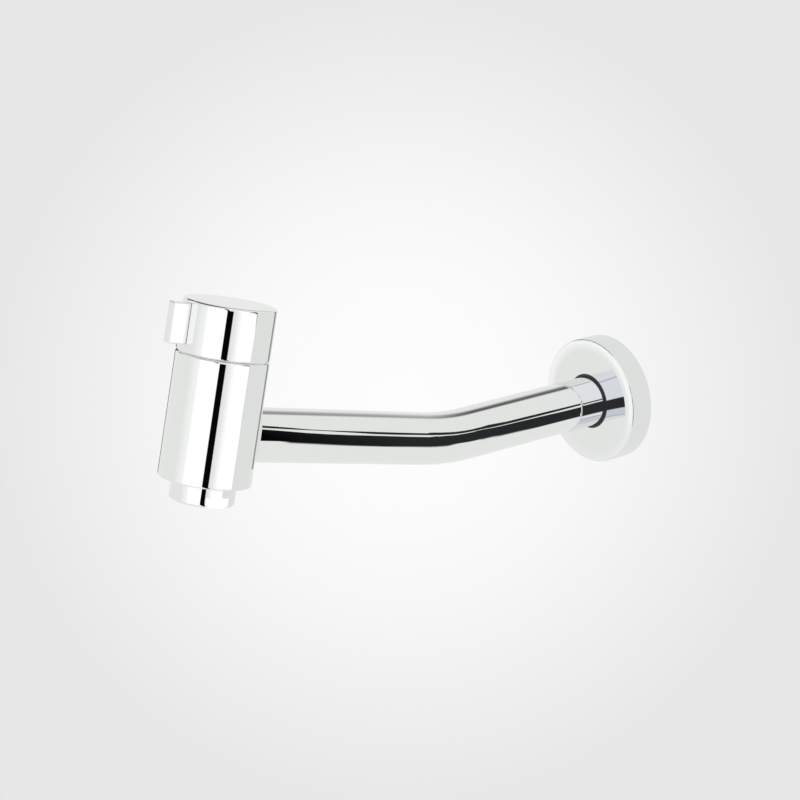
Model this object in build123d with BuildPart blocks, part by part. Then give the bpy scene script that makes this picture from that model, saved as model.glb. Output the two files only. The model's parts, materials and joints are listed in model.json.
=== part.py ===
"""Wall-mounted tap: a bent spout tube with its valve head and turning knob at the free end.

The origin is the centre of the inlet on the wall's surface. The wall is the plane Y = 0, the
spout stands out of it towards -Y, and +Z is up. All lengths are millimetres.
"""

import math
import os

from build123d import *

os.makedirs("parts", exist_ok=True)


# Driving sizes of the spout tube
tube_diameter = 25.0
tube_wall = 1.5
wall_run = 108.0  # from the wall to the corner where the two straight runs would meet
head_run = 135.0  # from that corner to the axis of the head
spout_rise = 13.0  # degrees by which the second run climbs
bend_radius = 120.0

# Driving sizes of the head, with heights along its axis measured from the tube's axis
head_diameter = 42.0
head_top = 35.4
head_bottom = -21.1
head_top_edge = 0.9
head_bottom_edge = 0.9
port_diameter = 11.0
socket_wall = 1.6  # brass left between the tube's socket and the valve's chamber
ledge_wall = 0.6  # brass left between the tube's socket and the aerator's socket
seat_drop = 0.5  # how far the valve's seat lies below the port

# Driving sizes of the knob and its lever tab
knob_inset = 0.1  # how much slimmer the knob is than the head, on the radius
knob_gap = 0.25
knob_height = 23.5
knob_wall = 2.5
knob_top_wall = 3.0
knob_bottom_edge = 0.9
knob_top_edge = 1.4
hub_wall = 3.0
hub_ceiling = 4.1  # metal above the insert
guide_width = 2.7
guide_sink = 1.0  # how far the guide ring sits in the head
guide_rise = 1.5  # how far it reaches up into the knob
tab_width = 5.1
tab_reach = 8.4
tab_below_top = 1.6
tab_above_bottom = 3.8
tab_edge = 0.5
tab_long_edge = 0.45
tab_seam = 0.15  # the open joint line round the foot of the tab
tab_swing = 4.7  # degrees from straight ahead towards -X
peg_diameter = 3.2
peg_spacing = 10.0
knob_turn = 90.0  # degrees from shut to fully open

# Driving sizes of the wall connection
half_inch_thread = 20.955
nipple_thread_length = 15.0
nipple_collar_width = 3.0  # how far it stands out beyond the thread
nipple_collar_out = 1.0  # the thread's root stands this far out of the wall
nipple_collar_height = 3.0
nipple_spigot_length = 28.0
nipple_wall = 1.72  # left under the ring grooves
nipple_key_step = 0.5  # from the bore to the flats of the hexagon that a key turns
nipple_key_depth = 9.0
thread_chamfer = 1.0
spigot_chamfer = 0.6
rubber_rounding = 0.5
tail_bush_wall = 2.3
tail_screw_diameter = 5.0
tail_screw_cover = 1.3  # how far the flange reaches over the screw's hole
tail_groove_width = 6.0
tail_groove_depth = 0.9
tail_screw_chamfer = 0.5
tail_screw_sink = 0.4  # below the tube's surface
nipple_ring_outs = (18.0, 24.5)
nipple_ring_section = 2.0
nipple_ring_depth = 1.4

# Driving sizes of the wall flange
flange_diameter = 63.0
flange_depth = 13.3
flange_wall = 2.0
flange_edge = 2.0
flange_hole_gap = 1.4  # round the tube, on the radius
flange_boss_wall = 2.4
flange_boss_depth = 7.0
ring_lip_depth = 1.2
ring_height = 3.8
ring_width = 2.4
ring_sink = 0.1  # how far the ring's lip stays behind the flange's face
seal_height = 3.0
seal_width = 4.0

# Driving sizes of the valve cartridge, with heights from the seat upwards
chamber_water_gap = 1.5  # round the cartridge's lower end
cartridge_wall = 0.9
cartridge_lift = 1.0  # how far the squeezed seat seal keeps the cartridge off the seat
cartridge_thread_length = 10.0
cartridge_hex_step = 0.5  # from the thread to the flats of the hexagon
cartridge_hex_height = 6.4
cartridge_neck_wall = 2.5
cartridge_neck_height = 4.6
counterbore_ledge = 1.5  # outside the ring's recess
counterbore_depth = 8.4
oring_recess_depth = 2.0
oring_recess_width = 2.0
seat_seal_height = 4.0
port_rim = 1.5  # ceramic left outside the ports
disc_height = 3.2
fixed_disc_notch = 2.4
fixed_disc_rib = 0.9
window_width = 11.0
window_height = 5.6
tongue_width = 5.0
tongue_depth = 1.2
foot_clear_height = 5.2  # open height between the discs and the driver plate
foot_plate_height = 2.8
slip_washer_height = 0.5
spindle_diameter = 10.0
spindle_ring_section = 2.0
spindle_ring_depth = 1.2
spindle_ring_rises = (5.0, 9.5)  # above the cartridge's inner shoulder
spline_diameter = 8.0
spline_teeth = 20
spline_tooth = 0.4
clip_thickness = 1.0
clip_groove_depth = 0.8
spline_shoulder = 0.8  # plain length between the clip's groove and the splines
spline_tooth_width = 0.6
clip_reach = 1.5  # how far it stands out beyond the spindle
clip_opening = 3.0
insert_wall = 2.4
insert_top = 1.4
knob_screw_diameter = 4.0
knob_screw_sink = 0.25  # below the hub's surface
stop_rib_width = 2.4
stop_rib_depth = 1.6
stop_play = 2.0  # degrees left at each end of the turn

# Driving sizes of the aerator
aerator_thread = 24.0
gasket_height = 2.0
outlet_ring_step = 2.7  # how far it stands out beyond the thread
outlet_ring_height = 9.6
outlet_ring_edge = 1.4
wrench_flat_depth = 1.15
wrench_flat_height = 4.8
wrench_flat_turn = -5.0  # degrees from square to the spout
aerator_shell_wall = 1.3
aerator_lip = 1.4
aerator_lip_height = 1.4
cage_wall = 1.0
cage_grid_height = 1.6
grid_hole = 2.2
grid_pitch = 2.8
grid_rim = 0.6
screen_rim = 1.0
screen_height = 0.4
screen_rises = (4.0, 6.5)  # above the top of the cage's grid
screen_hole = 0.9
screen_pitch = 1.8
restrictor_height = 2.0
restrictor_hole = 1.6
restrictor_holes = 12
restrictor_ring_share = 0.6  # the ring of holes, as a share of the disc's radius
gasket_width = 3.4

# Clearances, on the radius or on one face
braze_gap = 0.03
thread_gap = 0.03
running_gap = 0.05
slide_gap = 0.1
loose_gap = 0.2

# The two axes that everything is turned about
rise = math.radians(spout_rise)
bend_point = Vector(0, -wall_run, 0)
head_direction = Vector(0, -math.cos(rise), math.sin(rise))
head_origin = bend_point + head_direction * head_run
head_axis = Vector(0, math.sin(rise), math.cos(rise))
wall_plane = Plane(origin=(0, 0, 0), x_dir=(1, 0, 0), z_dir=(0, -1, 0))
wall_side = Plane(origin=(0, 0, 0), x_dir=(1, 0, 0), z_dir=(0, 0, -1))
wall_line = Axis((0, 0, 0), (0, -1, 0))
head_plane = Plane(origin=head_origin, x_dir=(1, 0, 0), z_dir=head_axis)
head_side = Plane(origin=head_origin, x_dir=(1, 0, 0), z_dir=head_direction)
head_line = Axis(head_origin, head_axis)
rear_plane = Plane(origin=head_origin, x_dir=(-1, 0, 0), z_dir=-head_direction)

# Sizes that follow from the driving ones
tube_radius = tube_diameter / 2
tube_bore_radius = tube_radius - tube_wall
head_radius = head_diameter / 2
knob_radius = head_radius - knob_inset
knob_bottom = head_top + knob_gap
knob_top = knob_bottom + knob_height
skirt_radius = knob_radius - knob_wall
guide_radius = skirt_radius - loose_gap
guide_floor = head_top - guide_sink
thread_radius = half_inch_thread / 2
chamber_radius = thread_radius + thread_gap
socket_floor = chamber_radius + socket_wall
outlet_ledge = -(tube_radius + braze_gap + ledge_wall)
seat_level = -(port_diameter / 2 + seat_drop)
counterbore_floor = head_top - counterbore_depth
cartridge_radius = chamber_radius - chamber_water_gap
cartridge_bore_radius = cartridge_radius - cartridge_wall
disc_radius = cartridge_bore_radius - slide_gap
turning_disc_radius = disc_radius - fixed_disc_rib - slide_gap
seat_bore_radius = turning_disc_radius - port_rim
bush_outer_radius = tube_bore_radius - braze_gap
bush_inner_radius = bush_outer_radius - tail_bush_wall
spigot_radius = bush_inner_radius - running_gap
spigot_start = nipple_collar_out + nipple_collar_height
spigot_end = spigot_start + nipple_spigot_length
tail_screw_out = flange_depth - tail_screw_cover - tail_screw_diameter / 2
tail_screw_plane = Plane(origin=(0, -tail_screw_out, 0), x_dir=(1, 0, 0), z_dir=(0, 0, -1))


def edge_near(part, axis, radius, height):
    """The circular edges of a part at this radius and this height along the axis."""
    centre = axis.position + axis.direction * height
    return [
        edge
        for edge in part.edges().filter_by(GeomType.CIRCLE)
        if abs(edge.radius - radius) < 0.01
        and (edge.arc_center - centre).length < 0.01
    ]


def soft_ring(side, axis, inner, outer, lows, section):
    """Squeezed rubber rings round an axis: a rounded section turned at each low edge."""
    with BuildPart() as rings:
        for low in lows:
            with BuildSketch(side):
                with Locations(((inner + outer) / 2, low + section / 2)):
                    Rectangle(outer - inner, section)
                fillet(vertices(), rubber_rounding)
            revolve(axis=axis)
    return rings


def save(name, piece):
    """Labels a finished piece and writes its STEP file."""
    piece.part.label = name
    export_step(piece.part, f"parts/{name}.step")


# Spout tube: two straight runs and the bend between them, pushed onto the tail bush at one
# end and brazed into the head's socket at the other
tube_start = Vector(0, -spigot_start, 0)
tube_end = head_origin - head_direction * socket_floor
with BuildPart() as spout_tube:
    with BuildLine() as tube_path:
        FilletPolyline(tube_start, bend_point, tube_end, radius=bend_radius)
    with BuildSketch(wall_plane.offset(spigot_start)):
        Circle(tube_radius)
        Circle(tube_bore_radius, mode=Mode.SUBTRACT)
    sweep(path=tube_path.wires()[0])
    with BuildSketch(tail_screw_plane):
        Circle(tail_screw_diameter / 2 + loose_gap)
    extrude(amount=tube_diameter, mode=Mode.SUBTRACT)
save("spout_tube", spout_tube)

# Wall nipple: screwed into the wall fitting with a key, and the spout is pushed over its
# spigot
groove_radius = spigot_radius - tail_groove_depth
ring_floor = spigot_radius - nipple_ring_depth
nipple_bore_radius = ring_floor - nipple_wall
collar_radius = thread_radius + nipple_collar_width
nipple_grooves = [(tail_screw_out, tail_groove_width, groove_radius)]
for ring_out in nipple_ring_outs:
    nipple_grooves.append((ring_out, nipple_ring_section + 2 * running_gap, ring_floor))
nipple_outline = [
    (nipple_bore_radius, -nipple_thread_length),
    (thread_radius - thread_chamfer, -nipple_thread_length),
    (thread_radius, thread_chamfer - nipple_thread_length),
    (thread_radius, nipple_collar_out),
    (collar_radius, nipple_collar_out),
    (collar_radius, spigot_start),
    (spigot_radius, spigot_start),
]
for groove_out, groove_width, groove_floor in nipple_grooves:
    groove_start = groove_out - groove_width / 2
    groove_end = groove_out + groove_width / 2
    nipple_outline.append((spigot_radius, groove_start))
    nipple_outline.append((groove_floor, groove_start))
    nipple_outline.append((groove_floor, groove_end))
    nipple_outline.append((spigot_radius, groove_end))
nipple_outline.append((spigot_radius, spigot_end - spigot_chamfer))
nipple_outline.append((spigot_radius - spigot_chamfer, spigot_end))
nipple_outline.append((nipple_bore_radius, spigot_end))
with BuildPart() as wall_nipple:
    with BuildSketch(wall_side):
        with BuildLine():
            Polyline(*nipple_outline, close=True)
        make_face()
    revolve(axis=wall_line)
    with BuildSketch(wall_plane.offset(spigot_end)):
        RegularPolygon(nipple_bore_radius + nipple_key_step, 6, major_radius=False)
    extrude(amount=-nipple_key_depth, mode=Mode.SUBTRACT)
save("wall_nipple", wall_nipple)

# Two rubber rings in the nipple's grooves, sealing against the tail bush
nipple_rings = soft_ring(
    wall_side,
    wall_line,
    ring_floor,
    spigot_radius + running_gap,
    [out - nipple_ring_section / 2 for out in nipple_ring_outs],
    nipple_ring_section,
)
save("nipple_orings", nipple_rings)

# Tail bush: brazed inside the tube's end, it gives the holding screw enough thread
with BuildPart() as tail_bush:
    with BuildSketch(wall_plane.offset(spigot_start)):
        Circle(bush_outer_radius)
        Circle(bush_inner_radius, mode=Mode.SUBTRACT)
    extrude(amount=nipple_spigot_length)
    with BuildSketch(tail_screw_plane):
        Circle(tail_screw_diameter / 2 + thread_gap)
    extrude(amount=tube_diameter, mode=Mode.SUBTRACT)
save("tail_bush", tail_bush)

# Tail screw: a grub screw from below, which bears in the nipple's wide groove
tail_screw_tip = groove_radius + running_gap
tail_screw_length = tube_radius - tail_screw_sink - tail_screw_tip
with BuildPart() as tail_screw:
    with BuildSketch(tail_screw_plane.offset(tail_screw_tip)):
        Circle(tail_screw_diameter / 2)
    extrude(amount=tail_screw_length)
    chamfer(tail_screw.edges().group_by(Axis.Z)[-1], tail_screw_chamfer)
    with BuildSketch(tail_screw_plane.offset(tail_screw_tip + tail_screw_length)):
        RegularPolygon(tail_screw_diameter / 4, 6, major_radius=False)
    extrude(amount=-tail_screw_length / 2, mode=Mode.SUBTRACT)
save("tail_screw", tail_screw)

# Wall flange: a turned cover, hollow behind, with a boss that holds the rubber ring
flange_radius = flange_diameter / 2
flange_hole_radius = tube_radius + flange_hole_gap
flange_inner_radius = flange_radius - flange_wall
plate_back = flange_depth - flange_wall
boss_back = flange_depth - flange_boss_depth
ring_seat_top = flange_depth - ring_lip_depth
ring_seat_bottom = ring_seat_top - ring_height
ring_seat_radius = tube_radius + ring_width
boss_radius = ring_seat_radius + flange_boss_wall
with BuildPart() as wall_flange:
    with BuildSketch(wall_side):
        with BuildLine():
            Polyline(
                (flange_hole_radius, flange_depth),
                (flange_radius, flange_depth),
                (flange_radius, 0),
                (flange_inner_radius, 0),
                (flange_inner_radius, plate_back),
                (boss_radius, plate_back),
                (boss_radius, boss_back),
                (flange_hole_radius, boss_back),
                (flange_hole_radius, ring_seat_bottom),
                (ring_seat_radius, ring_seat_bottom),
                (ring_seat_radius, ring_seat_top),
                (flange_hole_radius, ring_seat_top),
                close=True,
            )
        make_face()
    revolve(axis=wall_line)
    fillet(edge_near(wall_flange, wall_line, flange_radius, flange_depth), flange_edge)
    fillet(edge_near(wall_flange, wall_line, flange_inner_radius, plate_back), flange_edge / 2)
save("wall_flange", wall_flange)

# Flange ring: a rubber ring with a lip that closes the gap round the tube and grips it
grip_radius = tube_radius + slide_gap
with BuildPart() as flange_ring:
    with BuildSketch(wall_side):
        with BuildLine():
            Polyline(
                (grip_radius, ring_seat_bottom + running_gap),
                (ring_seat_radius - running_gap, ring_seat_bottom + running_gap),
                (ring_seat_radius - running_gap, ring_seat_top - running_gap),
                (flange_hole_radius - running_gap, ring_seat_top - running_gap),
                (flange_hole_radius - running_gap, flange_depth - ring_sink),
                (grip_radius, flange_depth - ring_sink),
                close=True,
            )
        make_face()
    revolve(axis=wall_line)
save("flange_ring", flange_ring)

# Flange seal: a foam ring inside the rim, squeezed flush against the wall
with BuildPart() as flange_seal:
    with BuildSketch(wall_plane):
        Circle(flange_inner_radius - running_gap)
        Circle(flange_inner_radius - seal_width, mode=Mode.SUBTRACT)
    extrude(amount=seal_height)
save("flange_seal", flange_seal)

# Head body: turned brass, with the tube's socket behind, the valve's chamber from above and
# the aerator's thread from below
oring_recess_floor = counterbore_floor - oring_recess_depth
oring_recess_radius = chamber_radius + oring_recess_width
counterbore_radius = oring_recess_radius + counterbore_ledge
aerator_socket_radius = aerator_thread / 2 + thread_gap
with BuildPart() as head_body:
    with BuildSketch(head_side):
        with BuildLine():
            Polyline(
                (seat_bore_radius, outlet_ledge),
                (aerator_socket_radius, outlet_ledge),
                (aerator_socket_radius, head_bottom),
                (head_radius, head_bottom),
                (head_radius, head_top),
                (guide_radius + running_gap, head_top),
                (guide_radius + running_gap, guide_floor),
                (counterbore_radius, guide_floor),
                (counterbore_radius, counterbore_floor),
                (oring_recess_radius, counterbore_floor),
                (oring_recess_radius, oring_recess_floor),
                (chamber_radius, oring_recess_floor),
                (chamber_radius, seat_level),
                (seat_bore_radius, seat_level),
                close=True,
            )
        make_face()
    revolve(axis=head_line)
    fillet(edge_near(head_body, head_line, head_radius, head_top), head_top_edge)
    fillet(edge_near(head_body, head_line, head_radius, head_bottom), head_bottom_edge)
    with BuildSketch(rear_plane.offset(socket_floor)):
        Circle(tube_radius + braze_gap)
    extrude(amount=head_radius, mode=Mode.SUBTRACT)
    with BuildSketch(rear_plane):
        Circle(port_diameter / 2)
    extrude(amount=head_radius, mode=Mode.SUBTRACT)
save("head_body", head_body)

# Heights up the valve cartridge
cartridge_bottom = seat_level + cartridge_lift
fixed_disc_bottom = seat_level + seat_seal_height
turning_disc_bottom = fixed_disc_bottom + disc_height
foot_bottom = turning_disc_bottom + disc_height
foot_plate_bottom = foot_bottom + foot_clear_height
slip_washer_bottom = foot_plate_bottom + foot_plate_height
inner_shoulder = slip_washer_bottom + slip_washer_height
thread_start = counterbore_floor - cartridge_thread_length
hex_top = counterbore_floor + cartridge_hex_height
neck_top = hex_top + cartridge_neck_height
spindle_radius = spindle_diameter / 2
cartridge_neck_radius = spindle_radius + cartridge_neck_wall
cartridge_wall_middle = (cartridge_radius + cartridge_bore_radius) / 2

# Cartridge housing: screwed into the head, with windows for the water and ribs that hold the
# fixed disc and stop the spindle at each end of its turn
with BuildPart() as cartridge_housing:
    with BuildSketch(head_side):
        with BuildLine():
            Polyline(
                (cartridge_bore_radius, cartridge_bottom),
                (cartridge_radius, cartridge_bottom),
                (cartridge_radius, thread_start),
                (thread_radius, thread_start),
                (thread_radius, counterbore_floor),
                (cartridge_neck_radius, counterbore_floor),
                (cartridge_neck_radius, neck_top),
                (spindle_radius + running_gap, neck_top),
                (spindle_radius + running_gap, inner_shoulder),
                (cartridge_bore_radius, inner_shoulder),
                close=True,
            )
        make_face()
    revolve(axis=head_line)
    with BuildSketch(head_plane.offset(counterbore_floor)):
        RegularPolygon(thread_radius + cartridge_hex_step, 6, major_radius=False)
        Circle(spindle_radius + running_gap, mode=Mode.SUBTRACT)
    extrude(amount=cartridge_hex_height)
    with BuildSketch(head_side):
        with Locations((0, foot_bottom + window_height / 2)):
            Rectangle(window_width, window_height)
    extrude(amount=2 * cartridge_radius, both=True, mode=Mode.SUBTRACT)
    with BuildSketch(head_plane.offset(fixed_disc_bottom)):
        for side_of_disc in (-1, 1):
            with Locations((side_of_disc * cartridge_bore_radius, 0)):
                Rectangle(2 * fixed_disc_rib, fixed_disc_notch)
        Circle(cartridge_wall_middle, mode=Mode.INTERSECT)
    extrude(amount=disc_height)
    with BuildSketch(head_plane.offset(foot_plate_bottom)):
        with Locations((cartridge_bore_radius, 0)):
            Rectangle(2 * stop_rib_depth, stop_rib_width)
        Circle(cartridge_wall_middle, mode=Mode.INTERSECT)
    extrude(amount=foot_plate_height)
save("cartridge_housing", cartridge_housing)

# Cartridge ring: seals the cartridge's shoulder in the head
cartridge_ring = soft_ring(
    head_side,
    head_line,
    thread_radius + running_gap,
    oring_recess_radius - running_gap,
    [oring_recess_floor],
    oring_recess_depth,
)
save("cartridge_oring", cartridge_ring)

# Seat seal: a rubber ring between the fixed disc and the seat in the head
with BuildPart() as seat_seal:
    with BuildSketch(head_plane.offset(seat_level)):
        Circle(disc_radius)
        Circle(seat_bore_radius, mode=Mode.SUBTRACT)
    extrude(amount=seat_seal_height)
save("seat_seal", seat_seal)

# Ceramic discs: each has two opposite ports, crossed when the tap is shut
port_inner_radius = 1.6
port_outer_radius = seat_bore_radius
port_half_angle = 36.0


def draw_ports(centre_angle):
    """Two opposite ports, each a sector between two radii, drawn in a sketch of its own."""
    with BuildSketch() as ports:
        for side_angle in (centre_angle, centre_angle + 180):
            low = side_angle - port_half_angle
            with BuildLine():
                CenterArc((0, 0), port_inner_radius, low, 2 * port_half_angle)
                CenterArc((0, 0), port_outer_radius, low, 2 * port_half_angle)
                for edge_angle in (low, low + 2 * port_half_angle):
                    along = Vector(1, 0).rotate(Axis.Z, edge_angle)
                    Line(along * port_inner_radius, along * port_outer_radius)
            make_face()
    return ports.sketch


with BuildPart() as fixed_disc:
    with BuildSketch(head_plane.offset(fixed_disc_bottom)):
        Circle(disc_radius)
        add(draw_ports(0), mode=Mode.SUBTRACT)
        for side_of_disc in (-1, 1):
            with Locations((side_of_disc * disc_radius, 0)):
                Rectangle(
                    2 * (fixed_disc_rib + slide_gap),
                    fixed_disc_notch + 2 * slide_gap,
                    mode=Mode.SUBTRACT,
                )
    extrude(amount=disc_height)
save("fixed_disc", fixed_disc)

with BuildPart() as turning_disc:
    with BuildSketch(head_plane.offset(turning_disc_bottom)):
        Circle(turning_disc_radius)
        add(draw_ports(90), mode=Mode.SUBTRACT)
    extrude(amount=disc_height)
    with BuildSketch(head_plane.offset(foot_bottom)):
        Rectangle(2 * disc_radius, tongue_width + 2 * running_gap)
        Circle(port_inner_radius, mode=Mode.SUBTRACT)
    extrude(amount=-tongue_depth, mode=Mode.SUBTRACT)
save("turning_disc", turning_disc)

# Spindle: its foot drives the turning disc, its rim has the recess that meets the stop rib,
# and its top is splined for the knob
spindle_shoulder = neck_top + running_gap
clip_groove_top = spindle_shoulder + clip_thickness + running_gap
spline_bottom = clip_groove_top + spline_shoulder
insert_height_top = knob_top - hub_ceiling
insert_bore_top = insert_height_top - insert_top
spline_top = insert_bore_top - loose_gap
spline_root_radius = spline_diameter / 2 - spline_tooth
clip_groove_radius = spindle_radius - clip_groove_depth
spindle_ring_floor = spindle_radius - spindle_ring_depth
spindle_outline = [
    (0, foot_plate_bottom),
    (disc_radius, foot_plate_bottom),
    (disc_radius, slip_washer_bottom),
    (spindle_radius, slip_washer_bottom),
]
for ring_rise in spindle_ring_rises:
    groove_low = inner_shoulder + ring_rise
    groove_high = groove_low + spindle_ring_section + 2 * running_gap
    spindle_outline.append((spindle_radius, groove_low))
    spindle_outline.append((spindle_ring_floor, groove_low))
    spindle_outline.append((spindle_ring_floor, groove_high))
    spindle_outline.append((spindle_radius, groove_high))
spindle_outline.append((spindle_radius, spindle_shoulder))
spindle_outline.append((clip_groove_radius, spindle_shoulder))
spindle_outline.append((clip_groove_radius, clip_groove_top))
spindle_outline.append((spindle_radius, clip_groove_top))
spindle_outline.append((spindle_radius, spline_bottom))
spindle_outline.append((spline_root_radius, spline_bottom))
spindle_outline.append((spline_root_radius, spline_top))
spindle_outline.append((0, spline_top))
recess_radius = cartridge_bore_radius - stop_rib_depth - slide_gap
rib_half_angle = math.degrees(math.asin(stop_rib_width / 2 / recess_radius))
recess_sweep = knob_turn + 2 * rib_half_angle + 2 * stop_play
with BuildPart() as spindle:
    with BuildSketch(head_side):
        with BuildLine():
            Polyline(*spindle_outline, close=True)
        make_face()
    revolve(axis=head_line)
    with BuildSketch(head_plane.offset(foot_bottom)):
        Rectangle(2 * turning_disc_radius, tongue_width)
        Circle(turning_disc_radius, mode=Mode.INTERSECT)
    extrude(amount=foot_clear_height)
    with BuildSketch(head_plane.offset(foot_bottom - tongue_depth + running_gap)):
        Rectangle(2 * turning_disc_radius, tongue_width)
        Circle(turning_disc_radius, mode=Mode.INTERSECT)
        Circle(port_inner_radius + running_gap, mode=Mode.SUBTRACT)
    extrude(amount=tongue_depth - running_gap)
    with BuildSketch(head_plane.offset(foot_plate_bottom)):
        with BuildLine():
            recess_start = -knob_turn - rib_half_angle - stop_play
            CenterArc((0, 0), recess_radius, recess_start, recess_sweep)
            CenterArc((0, 0), cartridge_wall_middle, recess_start, recess_sweep)
            for recess_edge in (recess_start, recess_start + recess_sweep):
                edge_way = Vector(1, 0).rotate(Axis.Z, recess_edge)
                Line(edge_way * recess_radius, edge_way * cartridge_wall_middle)
        make_face()
    extrude(amount=foot_plate_height, mode=Mode.SUBTRACT)
    with BuildSketch(head_plane.offset(spline_bottom)):
        with PolarLocations(spline_root_radius, spline_teeth):
            Rectangle(2 * spline_tooth, spline_tooth_width)
    extrude(amount=spline_top - spline_bottom)
save("spindle", spindle)

# Two rubber rings on the spindle
spindle_rings = soft_ring(
    head_side,
    head_line,
    spindle_ring_floor,
    spindle_radius,
    [inner_shoulder + ring_rise + running_gap for ring_rise in spindle_ring_rises],
    spindle_ring_section,
)
save("spindle_orings", spindle_rings)

# Slip washer: lets the spindle's plate turn under the housing's shoulder
with BuildPart() as slip_washer:
    with BuildSketch(head_plane.offset(slip_washer_bottom)):
        Circle(disc_radius - slide_gap)
        Circle(spindle_radius + slide_gap, mode=Mode.SUBTRACT)
    extrude(amount=slip_washer_height - running_gap)
save("slip_washer", slip_washer)

# Spindle clip: an open ring in the spindle's groove, just above the cartridge's neck
clip_radius = spindle_radius + clip_reach
with BuildPart() as spindle_clip:
    with BuildSketch(head_plane.offset(spindle_shoulder)):
        Circle(clip_radius)
        Circle(clip_groove_radius + running_gap, mode=Mode.SUBTRACT)
        with Locations((0, clip_radius)):
            Rectangle(clip_opening, 2 * clip_radius, mode=Mode.SUBTRACT)
    extrude(amount=clip_thickness)
save("spindle_clip", spindle_clip)

# Heights and radii inside the knob
hub_bottom = spline_bottom
insert_inner_radius = spline_diameter / 2 + running_gap
insert_outer_radius = insert_inner_radius + insert_wall
hub_radius = insert_outer_radius + braze_gap + hub_wall
screw_level = (spline_bottom + spline_top) / 2
knob_screw_length = hub_radius - knob_screw_sink - insert_inner_radius

# Lever tab: a plain block on the knob's side, with two pegs in the knob's wall
tab_angle = math.radians(tab_swing)
tab_way = head_direction * math.cos(tab_angle) - Vector(1, 0, 0) * math.sin(tab_angle)
tab_height = knob_height - tab_below_top - tab_above_bottom
tab_middle = knob_bottom + tab_above_bottom + tab_height / 2
tab_across = head_axis.cross(tab_way)
tab_plane = Plane(
    origin=head_origin + head_axis * tab_middle, x_dir=tab_across, z_dir=tab_way
)
with BuildPart() as lever_tab:
    with BuildSketch(tab_plane.offset(skirt_radius)):
        Rectangle(tab_width, tab_height)
    extrude(amount=knob_wall + tab_reach)
    fillet(lever_tab.faces().sort_by(Axis(tab_plane.origin, tab_way))[-1].edges(), tab_edge)
    fillet(
        [
            edge
            for edge in lever_tab.edges().filter_by(GeomType.LINE)
            if abs(edge.tangent_at(0).dot(tab_way)) > 0.99
        ],
        tab_long_edge,
    )
    with BuildSketch(head_plane.offset(tab_middle - tab_height)):
        Circle(knob_radius + tab_seam)
    extrude(amount=2 * tab_height, mode=Mode.SUBTRACT)
    with BuildSketch(tab_plane.offset(skirt_radius + loose_gap)):
        with GridLocations(0, peg_spacing, 1, 2):
            Circle(peg_diameter / 2)
    extrude(amount=knob_wall + tab_reach / 2)
save("lever_tab", lever_tab)

# Knob: a turned cap with a hub for the spindle, bored through behind for the key
with BuildPart() as knob:
    with BuildSketch(head_side):
        with BuildLine():
            Polyline(
                (0, insert_height_top),
                (insert_outer_radius + braze_gap, insert_height_top),
                (insert_outer_radius + braze_gap, hub_bottom),
                (hub_radius, hub_bottom),
                (hub_radius, knob_top - knob_top_wall),
                (skirt_radius, knob_top - knob_top_wall),
                (skirt_radius, knob_bottom),
                (knob_radius, knob_bottom),
                (knob_radius, knob_top),
                (0, knob_top),
                close=True,
            )
        make_face()
    revolve(axis=head_line)
    fillet(edge_near(knob, head_line, knob_radius, knob_bottom), knob_bottom_edge)
    fillet(edge_near(knob, head_line, knob_radius, knob_top), knob_top_edge)
    with BuildSketch(tab_plane.offset(hub_radius)):
        with GridLocations(0, peg_spacing, 1, 2):
            Circle(peg_diameter / 2 + braze_gap)
    extrude(amount=knob_radius, mode=Mode.SUBTRACT)
    with BuildSketch(rear_plane):
        with Locations((0, screw_level)):
            Circle(knob_screw_diameter / 2 + thread_gap)
    extrude(amount=head_diameter, mode=Mode.SUBTRACT)
save("knob", knob)

# Guide ring: a moulded ring in the head's top that centres the knob and closes the groove
with BuildPart() as guide_ring:
    with BuildSketch(head_plane.offset(guide_floor)):
        Circle(guide_radius)
        Circle(guide_radius - guide_width, mode=Mode.SUBTRACT)
    extrude(amount=knob_bottom + guide_rise - guide_floor)
save("guide_ring", guide_ring)

# Knob insert: a moulded bush in the knob's hub that takes the spindle's splines
with BuildPart() as knob_insert:
    with BuildSketch(head_side):
        with BuildLine():
            Polyline(
                (0, insert_bore_top),
                (insert_inner_radius, insert_bore_top),
                (insert_inner_radius, hub_bottom + loose_gap),
                (insert_outer_radius, hub_bottom + loose_gap),
                (insert_outer_radius, insert_height_top),
                (0, insert_height_top),
                close=True,
            )
        make_face()
    revolve(axis=head_line)
    with BuildSketch(rear_plane):
        with Locations((0, screw_level)):
            Circle(knob_screw_diameter / 2 + thread_gap)
    extrude(amount=head_diameter, mode=Mode.SUBTRACT)
save("knob_insert", knob_insert)

# Knob screw: a grub screw in the hub, bearing on the spindle from behind
with BuildPart() as knob_screw:
    with BuildSketch(rear_plane.offset(insert_inner_radius)):
        with Locations((0, screw_level)):
            Circle(knob_screw_diameter / 2)
    extrude(amount=knob_screw_length)
    with BuildSketch(rear_plane.offset(insert_inner_radius + knob_screw_length)):
        with Locations((0, screw_level)):
            RegularPolygon(knob_screw_diameter / 4, 6, major_radius=False)
    extrude(amount=-knob_screw_length / 2, mode=Mode.SUBTRACT)
save("knob_screw", knob_screw)

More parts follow.
